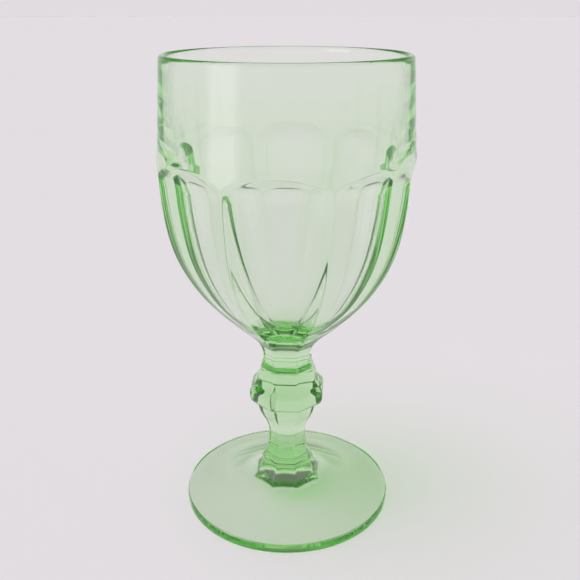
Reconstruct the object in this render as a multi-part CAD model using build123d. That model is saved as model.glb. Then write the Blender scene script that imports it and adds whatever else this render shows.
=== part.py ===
from build123d import *
import os
from math import cos, pi, tan

# Footed water goblet in pale green pressed glass.
# Millimetres, +Z up. The origin is the centre of the foot, on the surface that the goblet stands on.
# The bowl, knop, stem and both collars are eight-sided: their flats face X, Y and the diagonals between.
# The six sections meet face to face, as the glassmaker's sections do where they are joined hot.

# ---- driving dimensions ----
HEIGHT = 175.0            # lip above the table
RIM_R = 43.4              # outside of the rim band just below the lip
LIP_WALL = 2.4            # wall at the lip, which is fully rounded
FOOT_R = 41.0
FACETS = 8

# ---- heights where the sections meet ----
FLARE_TOP_Z = 17.7        # foot to lower collar
STEM_LOW_Z = 20.2         # lower collar to stem
STEM_TOP_Z = 43.0         # stem to knop
KNOP_TOP_Z = 58.3         # knop to upper collar
BOWL_LOW_Z = 61.0         # upper collar to bowl

# ---- shoulder under the plain rim band: outside radius and height, going down ----
SHOULDER_SIDE = [(45.35, 144.0), (45.65, 142.3), (45.95, 140.2), (46.3, 136.5), (46.6, 131.0)]

# ---- panels: an arc hollows out the arched head of each panel ----
PANEL_HEAD_Z = 132.5      # the panel runs upright here
PANEL_HEAD_CORNER_R = 46.1
HEAD_ARC_R = 14.0
HEAD_ARC_TURN = 60.0      # degrees; the arc leaves the bowl before its end

# ---- eight-sided sides: corner radius and height, going up ----
BOWL_SIDE = [
    (9.7, BOWL_LOW_Z), (9.85, 64.0), (10.9, 67.5), (12.7, 70.0), (17.3, 74.2),
    (25.9, 82.5), (32.0, 89.5), (36.1, 95.5), (41.4, 106.0), (44.0, 115.0),
    (45.4, 124.0), (45.85, 128.5), (PANEL_HEAD_CORNER_R, PANEL_HEAD_Z),
]
UPPER_COLLAR_SIDE = [
    (10.45, KNOP_TOP_Z), (10.35, 59.2), (10.3, 60.2), (10.2, 60.65), (9.7, BOWL_LOW_Z),
]
KNOP_RIDGE = (13.7, 51.3)
KNOP_BAND_SIDE = [(12.3, STEM_TOP_Z), (14.3, 43.8), (15.2, 45.2), (15.5, 47.2), (15.2, 49.4), KNOP_RIDGE]
KNOP_BEVEL_SIDE = [
    KNOP_RIDGE, (12.8, 52.9), (11.9, 54.8), (11.35, 56.6), (11.1, 57.4), (10.95, 57.95),
    (10.45, KNOP_TOP_Z),
]
STEM_SIDE = [
    (8.6, STEM_LOW_Z), (8.2, 22.5), (7.7, 26.0), (7.7, 29.0), (7.95, 31.6), (9.1, 34.8),
    (10.6, 37.6), (11.7, 40.3), (12.3, STEM_TOP_Z),
]
LOWER_COLLAR_SIDE = [
    (9.45, FLARE_TOP_Z), (9.3, 18.4), (9.15, 19.3), (9.05, 19.85), (8.6, STEM_LOW_Z),
]
FLARE_SIDE = [
    (22.5, 6.4), (18.2, 7.3), (15.4, 8.5), (13.4, 10.1), (12.0, 12.3), (10.95, 14.8),
    (10.25, 16.6), (9.95, 17.35), (9.45, FLARE_TOP_Z),
]

# ---- inside of the bowl: radius and height, going up ----
CAVITY_FLOOR_Z = 75.0
CAVITY_SIDE = [
    (0.0, CAVITY_FLOOR_Z), (2.5, 75.1), (6.0, 75.7), (11.0, 77.4), (16.5, 80.8), (22.0, 85.4),
    (28.6, 94.0), (34.6, 106.0), (38.2, 120.0), (39.7, 132.0), (40.3, 145.0), (40.7, 160.0),
    (RIM_R - LIP_WALL, HEIGHT - LIP_WALL / 2),
]

# ---- foot ----
FOOT_SEAT_R = 18.0        # the plate is level inside this radius, under the flare
FOOT_SEAT_Z = 7.0
FOOT_EDGE_Z = 4.3         # top of the edge
FOOT_TOP_ROUND = 0.9      # rounding of the edge, above
FOOT_LOW_ROUND = 0.8      # rounding of the edge, below
HOLLOW_SIDE = [           # underside, out to the ring that rests on the table
    (0.0, 6.5), (2.0, 6.46), (6.0, 6.2), (11.0, 5.4), (17.0, 4.0), (24.0, 2.4), (31.0, 1.05), (37.5, 0.0),
]

FLAT = cos(pi / FACETS)   # distance to a flat over distance to a corner
REACH = 70.0              # past everything, for shapes that are cut down


def flats(side):
    """A side given by its corner radii, as points on the middle of a flat."""
    return [(FLAT * radius, height) for radius, height in side]


def turned(outline):
    """Solid of revolution about Z from a closed outline drawn as radius and height."""
    return revolve(Plane.XZ * make_face(outline), Axis.Z)


def faceted(side):
    """Eight-sided solid whose flats all follow one side outline; its edges run upwards.

    One flat is made as a wedge from the axis to the two corner planes beside it, and repeated.
    """
    low, high = side[0] @ 0, side[-1] @ 1
    core = Polyline((high.X, high.Y), (0, high.Y), (0, low.Y), (low.X, low.Y))
    slab = extrude(Plane.XZ.offset(-REACH) * make_face([*side, core]), 2 * REACH)
    half_width = REACH * tan(pi / FACETS)
    sector = make_face(Polyline((0, 0), (REACH, -half_width), (REACH, half_width), (0, 0)))
    wedge = (slab & extrude(Pos(0, 0, low.Y) * sector, high.Y - low.Y)).solid()
    return wedge.fuse(*[Rot(0, 0, turn * 360 / FACETS) * wedge for turn in range(1, FACETS)])


def cup_outside():
    """Round outline of the bowl: plain band, soft shoulder, swelling belly, then a plain cylinder."""
    lip_z = HEIGHT - LIP_WALL / 2
    lip = ThreePointArc((RIM_R - LIP_WALL, lip_z), (RIM_R - LIP_WALL / 2, HEIGHT), (RIM_R, lip_z))
    band = Line((RIM_R, lip_z), SHOULDER_SIDE[0])
    belly = Spline(SHOULDER_SIDE)
    belly_r, belly_z = SHOULDER_SIDE[-1]
    under = Polyline(
        (belly_r, belly_z), (belly_r, BOWL_LOW_Z), (0, BOWL_LOW_Z), (0, lip_z), (RIM_R - LIP_WALL, lip_z),
    )
    return turned([lip, band, belly, under])


def panels():
    """Eight panels: upright at the head, where an arc scoops outwards and leaves an arched top."""
    head_x = FLAT * PANEL_HEAD_CORNER_R
    side = Spline(flats(BOWL_SIDE))
    scoop = CenterArc((head_x + HEAD_ARC_R, PANEL_HEAD_Z), HEAD_ARC_R, 180, -HEAD_ARC_TURN)
    scoop_end = scoop @ 1
    above = Polyline((scoop_end.X, scoop_end.Y), (REACH, scoop_end.Y), (REACH, HEIGHT + LIP_WALL))
    return faceted([side, scoop, above])


def cup_inside():
    """Round cavity, open above the lip."""
    side = Spline(CAVITY_SIDE)
    mouth_r, mouth_z = CAVITY_SIDE[-1]
    closing = Polyline(
        (mouth_r, mouth_z), (mouth_r, HEIGHT + LIP_WALL), (0, HEIGHT + LIP_WALL), (0, CAVITY_FLOOR_Z),
    )
    return turned([side, closing])


def make_bowl():
    return cup_outside() & panels() - cup_inside()


def make_upper_collar():
    return faceted([Spline(flats(UPPER_COLLAR_SIDE))])


def make_knop():
    return faceted([Spline(flats(KNOP_BAND_SIDE)), Spline(flats(KNOP_BEVEL_SIDE))])


def make_lower_stem():
    return faceted([Spline(flats(STEM_SIDE))])


def make_lower_collar():
    return faceted([Spline(flats(LOWER_COLLAR_SIDE))])


def foot_plate():
    """Round plate with a gentle slope, a rounded edge and a hollow underside inside a flat ring."""
    slope_x = FOOT_R - FOOT_TOP_ROUND
    crown = Polyline(
        HOLLOW_SIDE[0], (0, FOOT_SEAT_Z), (FOOT_SEAT_R, FOOT_SEAT_Z), (slope_x, FOOT_EDGE_Z),
    )
    top_round = RadiusArc((slope_x, FOOT_EDGE_Z), (FOOT_R, FOOT_EDGE_Z - FOOT_TOP_ROUND), FOOT_TOP_ROUND)
    edge = Line((FOOT_R, FOOT_EDGE_Z - FOOT_TOP_ROUND), (FOOT_R, FOOT_LOW_ROUND))
    low_round = RadiusArc((FOOT_R, FOOT_LOW_ROUND), (FOOT_R - FOOT_LOW_ROUND, 0), FOOT_LOW_ROUND)
    ring = Line((FOOT_R - FOOT_LOW_ROUND, 0), HOLLOW_SIDE[-1])
    hollow = Spline(HOLLOW_SIDE)
    return turned([crown, top_round, edge, low_round, ring, hollow])


def make_foot():
    """The plate with the eight-sided flare that rises from its middle."""
    return foot_plate() + faceted([Spline(flats(FLARE_SIDE))])


NODES = {
    "bowl": make_bowl,
    "upper_collar": make_upper_collar,
    "knop": make_knop,
    "lower_stem": make_lower_stem,
    "lower_collar": make_lower_collar,
    "foot": make_foot,
}

os.makedirs("parts", exist_ok=True)
for name, make in NODES.items():
    solid = make()
    solid.label = name
    export_step(solid, f"parts/{name}.step")
    size = solid.bounding_box().size
    print(f"{name}: {solid.volume / 1000:.1f} cm3, {size.X:.1f} x {size.Y:.1f} x {size.Z:.1f} mm")
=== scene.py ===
import math

import bpy
import numpy as np
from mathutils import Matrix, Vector


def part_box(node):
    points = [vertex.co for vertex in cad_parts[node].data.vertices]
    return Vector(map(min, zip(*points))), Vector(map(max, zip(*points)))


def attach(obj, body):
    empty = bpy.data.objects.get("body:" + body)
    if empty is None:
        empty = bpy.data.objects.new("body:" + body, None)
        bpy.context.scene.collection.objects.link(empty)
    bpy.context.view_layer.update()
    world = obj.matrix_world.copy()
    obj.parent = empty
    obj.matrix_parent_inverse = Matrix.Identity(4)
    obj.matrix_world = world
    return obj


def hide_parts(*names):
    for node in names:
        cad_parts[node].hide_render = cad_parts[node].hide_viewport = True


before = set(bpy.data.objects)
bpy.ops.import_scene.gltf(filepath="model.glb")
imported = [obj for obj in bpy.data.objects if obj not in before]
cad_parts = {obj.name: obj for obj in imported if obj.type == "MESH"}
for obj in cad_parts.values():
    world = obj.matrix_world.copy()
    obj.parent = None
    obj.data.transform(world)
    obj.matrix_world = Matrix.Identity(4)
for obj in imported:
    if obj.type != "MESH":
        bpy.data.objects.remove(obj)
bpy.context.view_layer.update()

MM = 0.001
FACETS = 8
SECTOR = 2 * math.pi / FACETS
FLAT = math.cos(SECTOR / 2)         # distance to a flat over distance to a corner

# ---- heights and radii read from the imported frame, in millimetres ----
LIP_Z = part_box("bowl")[1].z / MM
BOWL_LOW_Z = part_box("bowl")[0].z / MM
KNOP_TOP_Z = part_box("knop")[1].z / MM
STEM_TOP_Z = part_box("lower_stem")[1].z / MM
STEM_LOW_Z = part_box("lower_stem")[0].z / MM
FOOT_TOP_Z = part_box("foot")[1].z / MM
FOOT_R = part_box("foot")[1].x / MM

# ---- outlines: radius and height going up, the same as the CAD sections ----
LIP_WALL = 2.4
RIM_R = 43.4
BAND_LOW_Z = 144.0
SHOULDER = [(46.6, 131.0), (46.3, 136.5), (45.95, 140.2), (45.65, 142.3), (45.35, BAND_LOW_Z)]
PANEL_HEAD_Z = 132.5
PANEL_HEAD_CORNER_R = 46.1
HEAD_ARC_R = 14.0
BOWL_SIDE = [
    (9.7, BOWL_LOW_Z), (9.85, 64.0), (10.9, 67.5), (12.7, 70.0), (17.3, 74.2),
    (25.9, 82.5), (32.0, 89.5), (36.1, 95.5), (41.4, 106.0), (44.0, 115.0),
    (45.4, 124.0), (45.85, 128.5), (PANEL_HEAD_CORNER_R, PANEL_HEAD_Z),
]
CAVITY_SIDE = [
    (0.0, 75.0), (2.5, 75.1), (6.0, 75.7), (11.0, 77.4), (16.5, 80.8), (22.0, 85.4),
    (28.6, 94.0), (34.6, 106.0), (38.2, 120.0), (39.7, 132.0), (40.3, 145.0), (40.7, 160.0),
    (RIM_R - LIP_WALL, LIP_Z - LIP_WALL / 2),
]
UPPER_COLLAR_SIDE = [(10.45, KNOP_TOP_Z), (10.35, 59.2), (10.3, 60.2), (10.2, 60.65), (9.7, BOWL_LOW_Z)]
KNOP_BAND_SIDE = [
    (12.3, STEM_TOP_Z), (14.3, 43.8), (15.2, 45.2), (15.5, 47.2), (15.2, 49.4), (13.7, 51.3),
]
KNOP_BEVEL_SIDE = [
    (13.7, 51.3), (12.8, 52.9), (11.9, 54.8), (11.35, 56.6), (11.1, 57.4), (10.95, 57.95),
    (10.45, KNOP_TOP_Z),
]
STEM_SIDE = [
    (8.6, STEM_LOW_Z), (8.2, 22.5), (7.7, 26.0), (7.7, 29.0), (7.95, 31.6), (9.1, 34.8),
    (10.6, 37.6), (11.7, 40.3), (12.3, STEM_TOP_Z),
]
LOWER_COLLAR_SIDE = [(9.45, FOOT_TOP_Z), (9.3, 18.4), (9.15, 19.3), (9.05, 19.85), (8.6, STEM_LOW_Z)]
FLARE_SIDE = [
    (22.5, 6.4), (18.2, 7.3), (15.4, 8.5), (13.4, 10.1), (12.0, 12.3), (10.95, 14.8),
    (10.25, 16.6), (9.95, 17.35), (9.45, FOOT_TOP_Z),
]
FOOT_SEAT_R, FOOT_SEAT_Z = 18.0, 7.0
FOOT_EDGE_Z = 4.3
PLATE_RADII = (33.0, 27.0)          # further points on the plate's slope, between edge and flare
FOOT_TOP_ROUND = 0.9
FOOT_LOW_ROUND = 0.8
HOLLOW_SIDE = [
    (0.0, 6.5), (2.0, 6.46), (6.0, 6.2), (11.0, 5.4), (17.0, 4.0), (24.0, 2.4), (31.0, 1.05), (37.5, 0.0),
]

# ---- how finely the glass is meshed, and how soft its edges are ----
AZIMUTHS = 320                      # around the axis, closer together at the ribs
RIB_CROWDING = 0.8
BOWL_RIB = 0.8                      # half the width of a rib's rounding
STEM_RIB = 0.6
KNOP_RIB = 0.8
ARCH_ROUND = 0.8                    # width of the changeover at the panel heads
FLARE_ROUND_FROM_R = 10.5           # the flare is eight-sided up to this radius
FLARE_ROUND_R = 16.0                # and round from this one outwards
CAP_GAP = 0.001                     # between the faces where two sections join
HEAD_ROW_GAP = 0.22                 # between the rings that draw the arched panel heads
HEAD_SCOOP_RISE = 12.0              # the panel heads are finished by this height above their foot

# ---- floor, light and camera, in metres ----
FLOOR_RADIUS = 9.0
FLOOR_DROP = 0.00003                # keeps the floor clear of the foot's flat ring
WALL_LIGHT = (0.755, 0.715, 0.745, 1)
UPPER_WALL_LIGHT = (0.22, 0.21, 0.22, 1)
ROOM_LIGHT = (0.12, 0.12, 0.125, 1)
SKY_STRENGTH = 2.5
SKY_SPREAD = math.radians(50.0)
SKY_SIDE = (-0.35, -0.1, 1.0)       # towards the middle of the light from above
WINDOW_DISTANCE = 1.4
WINDOW_TURN = math.radians(51.0)    # from straight in front, towards the left
WINDOW_HEIGHT = 1.2
WINDOW_WIDTHS = (0.55, 0.7, 0.85)   # one behind the other, so that its edges are soft
WINDOW_POWER = 4.5
CAMERA_AZIMUTH = math.radians(4.0)
CAMERA_BACK = 0.2725
CAMERA_HEIGHT = 0.1925
CAMERA_PITCH = math.radians(20.8)
CAMERA_YAW = math.radians(-0.24)
CAMERA_LENS = 47.73


def natural_curve(points, count):
    """Points on a natural cubic through the given points, evenly spaced along it."""
    p = np.array(points, float)
    t = np.concatenate([[0], np.cumsum(np.hypot(*np.diff(p, axis=0).T))])
    n, h = len(p), np.diff(t)
    a = np.zeros((n, n))
    b = np.zeros((n, 2))
    a[0, 0] = a[-1, -1] = 1
    for i in range(1, n - 1):
        a[i, i - 1:i + 2] = h[i - 1], 2 * (h[i - 1] + h[i]), h[i]
        b[i] = 6 * ((p[i + 1] - p[i]) / h[i] - (p[i] - p[i - 1]) / h[i - 1])
    m = np.linalg.solve(a, b)
    fine = np.linspace(0, t[-1], 40 * count)
    k = np.clip(np.searchsorted(t, fine, side="right") - 1, 0, n - 2)
    u, v, w = (fine - t[k])[:, None], (t[k + 1] - fine)[:, None], h[k][:, None]
    curve = (
        m[k] * v ** 3 / (6 * w) + m[k + 1] * u ** 3 / (6 * w)
        + (p[k] / w - m[k] * w / 6) * v + (p[k + 1] / w - m[k + 1] * w / 6) * u
    )
    length = np.concatenate([[0], np.cumsum(np.hypot(*np.diff(curve, axis=0).T))])
    even = np.linspace(0, length[-1], count)
    return np.column_stack([np.interp(even, length, curve[:, i]) for i in (0, 1)])


def blended_max(a, b, width):
    """The larger of two values, with a rounded changeover of that width."""
    h = np.maximum(width - np.abs(a - b), 0) / width
    return np.maximum(a, b) + h * h * width / 4


def smooth_step(low, high, value):
    """A smooth 0 to 1 rise as the value goes from low to high."""
    t = min(max((value - low) / (high - low), 0.0), 1.0)
    return t * t * (3 - 2 * t)


def azimuths():
    """Angles round the axis, crowded towards the ribs, which stand between the flats."""
    per = AZIMUTHS // FACETS
    t = np.linspace(-1, 1, per, endpoint=False)
    local = SECTOR / 2 * (t + RIB_CROWDING * np.sin(math.pi * t) / math.pi)
    return np.concatenate([local + k * SECTOR for k in range(FACETS)]) - math.pi / 2


THETA = azimuths()
LOCAL = (THETA + math.pi / 2 + SECTOR / 2) % SECTOR - SECTOR / 2


def around(radius, height):
    """One ring of points at the given radius, which may differ with the angle."""
    return np.column_stack([
        radius * np.cos(THETA), radius * np.sin(THETA), np.full(len(THETA), height),
    ])


def octagon(corner, rib, envelope=None):
    """Radius at every angle of an eight-sided ring with rounded ribs, kept inside a round envelope."""
    flat = corner * FLAT
    near, far = np.cos(LOCAL) / flat, np.cos(SECTOR - np.abs(LOCAL)) / flat
    inverse = blended_max(near, far, 2 * math.tan(SECTOR / 2) * rib / corner ** 2)
    if envelope is not None:
        inverse = blended_max(inverse, 1 / envelope, ARCH_ROUND / envelope ** 2)
    return 1 / inverse


def stack(side, rows, rib):
    """Eight-sided rings up a side outline."""
    return [around(octagon(r, rib), z) for r, z in natural_curve(side, rows)]


def skin(name, rings, low_joint=False, high_joint=False):
    """Closed mesh over a stack of rings. The end faces that meet another section are marked as joints."""
    count = len(THETA)
    last = (len(rings) - 1) * count
    centres = [[0, 0, rings[0][0, 2]], [0, 0, rings[-1][0, 2]]]
    points = np.vstack(rings + [centres]) * MM
    step = np.arange(count)
    turn = (step + 1) % count
    sides = [
        np.column_stack([low + step, low + turn, low + count + turn, low + count + step])
        for low in range(0, last, count)
    ]
    faces = np.vstack(sides).tolist()
    faces += np.column_stack([turn, step, np.full(count, len(points) - 2)]).tolist()
    faces += np.column_stack([last + step, last + turn, np.full(count, len(points) - 1)]).tolist()
    mesh = bpy.data.meshes.new(name)
    mesh.from_pydata(points.tolist(), [], faces)
    joint = np.zeros(len(faces), np.float32)
    joint[-2 * count:-count] = low_joint
    joint[-count:] = high_joint
    mesh.attributes.new("joint", "FLOAT", "FACE").data.foreach_set("value", joint)
    mesh.shade_smooth()
    ends = [base for base, flag in ((0, low_joint), (last, high_joint)) if flag]
    rims = {tuple(sorted((base + a, base + b))) for base in ends for a, b in zip(step, turn)}
    for edge in mesh.edges:
        edge.use_edge_sharp = tuple(sorted(edge.vertices)) in rims
    mesh.update()
    piece = bpy.data.objects.new(name, mesh)
    bpy.context.scene.collection.objects.link(piece)
    return piece


def clear_of_joints(side, low=True, high=True):
    """The side outline with its ends drawn back from the sections that it meets."""
    (low_r, low_z), *middle, (high_r, high_z) = side
    return [(low_r, low_z + CAP_GAP * low), *middle, (high_r, high_z - CAP_GAP * high)]


def make_bowl():
    """Panelled bowl, plain band and rounded lip outside, then the round cavity downwards."""
    side = natural_curve(BOWL_SIDE, 64)
    shoulder = np.vstack([
        natural_curve(SHOULDER, 60), [(RIM_R, LIP_Z - LIP_WALL / 2)],
    ])
    rings = [around(octagon(r, BOWL_RIB), z) for r, z in side[:-4]]
    heights = np.concatenate([
        np.arange(side[-4][1], BAND_LOW_Z + 1.6, HEAD_ROW_GAP),
        np.linspace(BAND_LOW_Z + 2.0, LIP_Z - LIP_WALL / 2, 14),
    ])
    for z in heights:
        envelope = np.interp(z, shoulder[:, 1], shoulder[:, 0])
        rise = z - PANEL_HEAD_Z
        if rise <= 0:
            corner = np.interp(z, side[:, 1], side[:, 0])
        else:
            scoop = HEAD_ARC_R - math.sqrt(HEAD_ARC_R ** 2 - min(rise, HEAD_SCOOP_RISE) ** 2)
            corner = PANEL_HEAD_CORNER_R + scoop / FLAT
        radius = octagon(corner, BOWL_RIB, envelope) if rise < HEAD_SCOOP_RISE else envelope
        rings.append(around(radius, z))
    lip = LIP_WALL / 2
    for turn in np.linspace(0, math.pi, 13)[1:-1]:
        rings.append(around(RIM_R - lip + lip * math.cos(turn), LIP_Z - lip + lip * math.sin(turn)))
    inside = natural_curve(CAVITY_SIDE, 84)[::-1]
    rings += [around(r, z) for r, z in inside[:-1]]
    return skin("goblet_bowl", rings, low_joint=True)


def make_upper_collar():
    """Short collar between the knop and the bowl."""
    rings = stack(clear_of_joints(UPPER_COLLAR_SIDE), 28, STEM_RIB)
    return skin("goblet_upper_collar", rings, low_joint=True, high_joint=True)


def make_knop():
    """Rounded band below the knop's ridge, and the long bevel above it."""
    band = clear_of_joints(KNOP_BAND_SIDE, high=False)
    bevel = clear_of_joints(KNOP_BEVEL_SIDE, low=False)
    rings = stack(band, 60, KNOP_RIB) + stack(bevel, 44, KNOP_RIB)[1:]
    return skin("goblet_knop", rings, low_joint=True, high_joint=True)


def make_lower_stem():
    """Slim stem under the knop."""
    rings = stack(clear_of_joints(STEM_SIDE), 80, STEM_RIB)
    return skin("goblet_lower_stem", rings, low_joint=True, high_joint=True)


def make_lower_collar():
    """Short collar between the foot and the stem."""
    rings = stack(clear_of_joints(LOWER_COLLAR_SIDE), 28, STEM_RIB)
    return skin("goblet_lower_collar", rings, low_joint=True, high_joint=True)


def make_foot():
    """Plate with a hollow underside, rounded edge and gentle slope, drawn up into the flare."""
    slope_r = FOOT_R - FOOT_TOP_ROUND
    outline = natural_curve(HOLLOW_SIDE, 40)[1:].tolist()
    outline.append(((HOLLOW_SIDE[-1][0] + FOOT_R - FOOT_LOW_ROUND) / 2, 0))
    for turn in np.linspace(-math.pi / 2, 0, 7):
        outline.append((
            FOOT_R - FOOT_LOW_ROUND * (1 - math.cos(turn)), FOOT_LOW_ROUND * (1 + math.sin(turn)),
        ))
    for turn in np.linspace(0, math.pi / 2, 9):
        outline.append((
            FOOT_R - FOOT_TOP_ROUND * (1 - math.cos(turn)),
            FOOT_EDGE_Z - FOOT_TOP_ROUND * (1 - math.sin(turn)),
        ))
    rings = [around(r, z) for r, z in outline]
    fall = (FOOT_SEAT_Z - FOOT_EDGE_Z) / (slope_r - FOOT_SEAT_R)
    slope = [(r, FOOT_EDGE_Z + fall * (slope_r - r)) for r in (slope_r, *PLATE_RADII)]
    flare = clear_of_joints(FLARE_SIDE[1:], low=False)
    for r, z in natural_curve(slope + flare, 110)[1:]:
        roundness = smooth_step(FLARE_ROUND_FROM_R, FLARE_ROUND_R, r)
        rings.append(around(octagon(r, STEM_RIB) * (1 - roundness) + r * roundness, z))
    return skin("goblet_foot", rings, high_joint=True)


def glass_material():
    """Pale green pressed glass: colour taken up with depth, and a slightly wavy fire-polished skin."""
    mat = bpy.data.materials.new("green_glass")
    mat.use_nodes = True
    nodes, links = mat.node_tree.nodes, mat.node_tree.links
    nodes.clear()
    out = nodes.new("ShaderNodeOutputMaterial")
    surface = nodes.new("ShaderNodeBsdfPrincipled")
    surface.inputs["Base Color"].default_value = (1, 1, 1, 1)
    surface.inputs["Roughness"].default_value = 0.0
    surface.inputs["Transmission Weight"].default_value = 1.0
    surface.inputs["IOR"].default_value = 1.52
    place = nodes.new("ShaderNodeTexCoord")
    waves = nodes.new("ShaderNodeTexNoise")
    waves.inputs["Scale"].default_value = 70.0
    waves.inputs["Detail"].default_value = 1.5
    bump = nodes.new("ShaderNodeBump")
    bump.inputs["Strength"].default_value = 0.06
    bump.inputs["Distance"].default_value = 0.0006
    links.new(place.outputs["Object"], waves.inputs["Vector"])
    links.new(waves.outputs["Fac"], bump.inputs["Height"])
    links.new(bump.outputs["Normal"], surface.inputs["Normal"])
    absorb = nodes.new("ShaderNodeVolumeAbsorption")
    absorb.inputs["Color"].default_value = (0.24, 0.86, 0.02, 1)
    absorb.inputs["Density"].default_value = 26.0
    links.new(absorb.outputs["Volume"], out.inputs["Volume"])
    straight = nodes.new("ShaderNodeBsdfTransparent")
    joint = nodes.new("ShaderNodeAttribute")
    joint.attribute_name = "joint"
    path = nodes.new("ShaderNodeLightPath")
    passes = nodes.new("ShaderNodeMath")
    passes.operation = "MAXIMUM"
    mix = nodes.new("ShaderNodeMixShader")
    links.new(joint.outputs["Fac"], passes.inputs[0])
    links.new(path.outputs["Is Shadow Ray"], passes.inputs[1])
    links.new(passes.outputs["Value"], mix.inputs["Fac"])
    links.new(surface.outputs["BSDF"], mix.inputs[1])
    links.new(straight.outputs["BSDF"], mix.inputs[2])
    links.new(mix.outputs["Shader"], out.inputs["Surface"])
    return mat


def make_floor():
    """Pale matt table top that reaches past every view."""
    count = 96
    turns = [2 * math.pi * i / count for i in range(count)]
    mesh = bpy.data.meshes.new("floor")
    rim = [(FLOOR_RADIUS * math.cos(t), FLOOR_RADIUS * math.sin(t), -FLOOR_DROP) for t in turns]
    mesh.from_pydata(rim, [], [range(count)])
    obj = bpy.data.objects.new("floor", mesh)
    bpy.context.scene.collection.objects.link(obj)
    mat = bpy.data.materials.new("floor_paint")
    mat.use_nodes = True
    paint = mat.node_tree.nodes["Principled BSDF"]
    paint.inputs["Base Color"].default_value = (0.80, 0.765, 0.79, 1)
    paint.inputs["Roughness"].default_value = 1.0
    paint.inputs["Specular IOR Level"].default_value = 0.0
    nodes, links = mat.node_tree.nodes, mat.node_tree.links
    place = nodes.new("ShaderNodeTexCoord")
    grain = nodes.new("ShaderNodeTexNoise")
    grain.inputs["Scale"].default_value = 260.0
    bump = nodes.new("ShaderNodeBump")
    bump.inputs["Strength"].default_value = 0.12
    bump.inputs["Distance"].default_value = 0.0004
    links.new(place.outputs["Object"], grain.inputs["Vector"])
    links.new(grain.outputs["Fac"], bump.inputs["Height"])
    links.new(bump.outputs["Normal"], paint.inputs["Normal"])
    mesh.materials.append(mat)


def area_light(name, place, target, size, power):
    """Rectangular lamp that shows as a reflection and leaves the matt floor as it is."""
    data = bpy.data.lights.new(name, "AREA")
    data.shape = "RECTANGLE"
    data.size, data.size_y = size
    data.energy = power
    obj = bpy.data.objects.new(name, data)
    bpy.context.scene.collection.objects.link(obj)
    obj.location = place
    obj.rotation_euler = (Vector(target) - Vector(place)).to_track_quat("-Z", "Y").to_euler()
    obj.visible_transmission = False
    obj.visible_diffuse = False


def ranged(nodes, links, source, low, high):
    """A smooth 0 to 1 rise as the source goes from low to high."""
    rise = nodes.new("ShaderNodeMapRange")
    rise.interpolation_type = "SMOOTHSTEP"
    rise.inputs["From Min"].default_value = low
    rise.inputs["From Max"].default_value = high
    links.new(source, rise.inputs["Value"])
    return rise.outputs["Result"]


def product(nodes, links, *sources):
    """The sources multiplied together."""
    result = sources[0]
    for source in sources[1:]:
        times = nodes.new("ShaderNodeMath")
        times.operation = "MULTIPLY"
        links.new(result, times.inputs[0])
        links.new(source, times.inputs[1])
        result = times.outputs["Value"]
    return result


def along(nodes, links, source, direction):
    """How far the source vector reaches along a direction."""
    dot = nodes.new("ShaderNodeVectorMath")
    dot.operation = "DOT_PRODUCT"
    dot.inputs[1].default_value = direction
    links.new(source, dot.inputs[0])
    return dot.outputs["Value"]


def tinted(nodes, links, factor, base, colour):
    """Base colour, turning into the other colour as the factor goes from 0 to 1."""
    mix = nodes.new("ShaderNodeMix")
    mix.data_type = "RGBA"
    links.new(factor, mix.inputs["Factor"])
    if isinstance(base, tuple):
        mix.inputs[6].default_value = base
    else:
        links.new(base, mix.inputs[6])
    mix.inputs[7].default_value = colour
    return mix.outputs[2]


def make_world():
    """Walls that are pale near the table and dim higher up, and a darker room in front."""
    world = bpy.data.worlds.new("studio")
    bpy.context.scene.world = world
    world.use_nodes = True
    nodes, links = world.node_tree.nodes, world.node_tree.links
    way = nodes.new("ShaderNodeTexCoord").outputs["Generated"]
    up = along(nodes, links, way, (0, 0, 1))
    front = along(nodes, links, way, (0, -1, 0))
    room = product(nodes, links, ranged(nodes, links, front, 0.0, 0.5), ranged(nodes, links, up, 0.03, 0.3))
    walls = tinted(nodes, links, ranged(nodes, links, up, 0.12, 0.4), WALL_LIGHT, UPPER_WALL_LIGHT)
    light = tinted(nodes, links, room, walls, ROOM_LIGHT)
    links.new(light, nodes["Background"].inputs["Color"])


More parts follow.
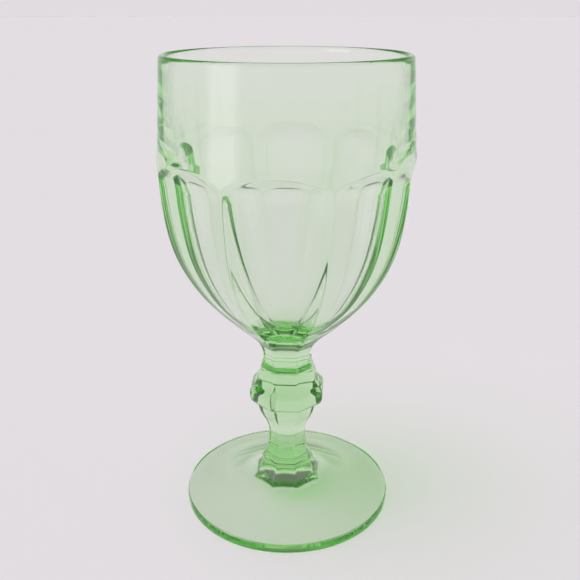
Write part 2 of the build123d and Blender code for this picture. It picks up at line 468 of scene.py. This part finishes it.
def make_window():
    """Tall window at the left that stands on the table's level."""
    for step, width in enumerate(WINDOW_WIDTHS):
        away = WINDOW_DISTANCE + 0.01 * step
        place = (-away * math.sin(WINDOW_TURN), -away * math.cos(WINDOW_TURN), WINDOW_HEIGHT / 2)
        aim = (0, 0, WINDOW_HEIGHT / 2)
        area_light("window", place, aim, (width, WINDOW_HEIGHT), WINDOW_POWER / len(WINDOW_WIDTHS))


def make_sky():
    """Broad soft light from above, a little to the left.

    It reaches the floor through the glass as shadow rays, and would light it twice if refracted.
    """
    data = bpy.data.lights.new("sky", "SUN")
    data.energy = SKY_STRENGTH
    data.angle = SKY_SPREAD
    obj = bpy.data.objects.new("sky", data)
    bpy.context.scene.collection.objects.link(obj)
    obj.rotation_euler = Vector(SKY_SIDE).to_track_quat("Z", "Y").to_euler()
    obj.visible_transmission = False
    obj.visible_glossy = False


def make_camera():
    """Camera at the photograph's viewing angle."""
    data = bpy.data.cameras.new("camera")
    data.lens = CAMERA_LENS
    data.sensor_width = 36.0
    obj = bpy.data.objects.new("camera", data)
    bpy.context.scene.collection.objects.link(obj)
    obj.location = (
        CAMERA_BACK * math.sin(CAMERA_AZIMUTH), -CAMERA_BACK * math.cos(CAMERA_AZIMUTH), CAMERA_HEIGHT,
    )
    obj.rotation_euler = (math.pi / 2 - CAMERA_PITCH, 0, CAMERA_AZIMUTH + CAMERA_YAW)
    bpy.context.scene.camera = obj


make_camera()
glass = glass_material()
sections = {
    "bowl": make_bowl(),
    "upper_collar": make_upper_collar(),
    "knop": make_knop(),
    "lower_stem": make_lower_stem(),
    "lower_collar": make_lower_collar(),
    "foot": make_foot(),
}
for node, piece in sections.items():
    piece.data.materials.append(glass)
    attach(piece, "root")
    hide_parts(node)
make_floor()
make_window()
make_sky()
make_world()

scene = bpy.context.scene
scene.view_settings.view_transform = "Standard"
scene.cycles.max_bounces = 48
scene.cycles.glossy_bounces = 48            # light goes round inside the thick glass many times
scene.cycles.transmission_bounces = 48
scene.cycles.transparent_max_bounces = 48
